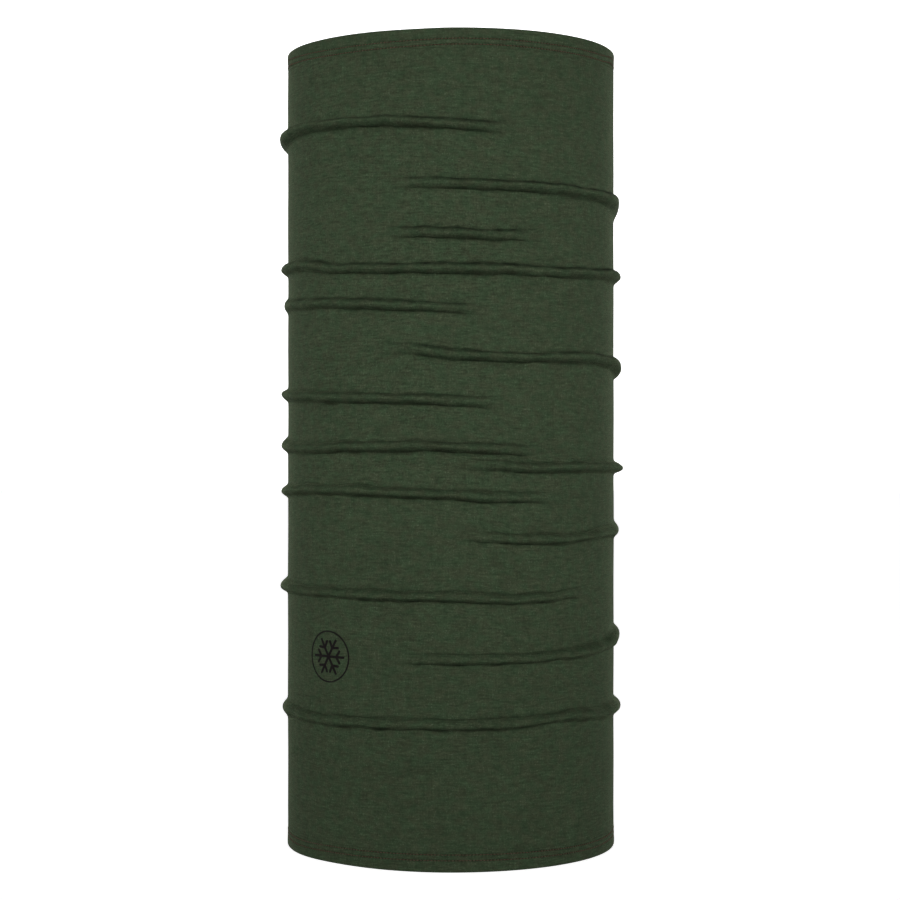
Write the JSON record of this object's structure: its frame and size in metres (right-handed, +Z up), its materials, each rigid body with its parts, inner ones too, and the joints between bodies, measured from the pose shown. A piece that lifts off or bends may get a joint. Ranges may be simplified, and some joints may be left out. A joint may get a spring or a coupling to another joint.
{
  "type": "neck gaiter",
  "caption": "Tubular neck gaiter of fine merino jersey, open at both ends, with twin-needle hems, a folded care label inside and a small print of a ringed snowflake low on the left front.",
  "frame": {"origin": "centre of the lower rim, in the plane that the tube stands on", "axes": "+Z up along the tube, -Y towards the front, +X towards the wearer's left, which is the right of a front view"},
  "size_m": [0.1762, 0.1762, 0.422],
  "materials": {
    "merino_knit": "matte fine jersey, dark olive green with brown flecks, slight fuzz",
    "sewing_thread": "matte twisted thread, dark brown",
    "print_film": "thin near-black transfer film, satin",
    "label_satin": "woven satin ribbon, off-white, soft gloss"
  },
  "bodies": {
    "tube": {"knit_tube": "merino_knit", "bottom_hem": "merino_knit", "bottom_needle_thread_upper": "sewing_thread", "bottom_needle_thread_lower": "sewing_thread", "bottom_looper_thread": "sewing_thread", "print_snowflake": "print_film", "print_ring": "print_film"},
    "top_edge": {"top_hem": "merino_knit", "top_needle_thread_upper": "sewing_thread", "top_needle_thread_lower": "sewing_thread", "top_looper_thread": "sewing_thread"},
    "label": {"care_label": "label_satin"}
  },
  "joints": [
    {"name": "top_edge_slide", "type": "slide", "parent": "tube", "child": "top_edge", "axis": [0, 0, 1], "range_m": [-0.2, 0.05], "deforming": ["knit_tube", "print_snowflake", "print_ring"]},
    {"name": "label_swing", "type": "hinge", "parent": "top_edge", "child": "label", "pos_m": [0, 0.08475, 0.4117], "axis": [-1, 0, 0], "range_deg": [0, 150]}
  ]
}
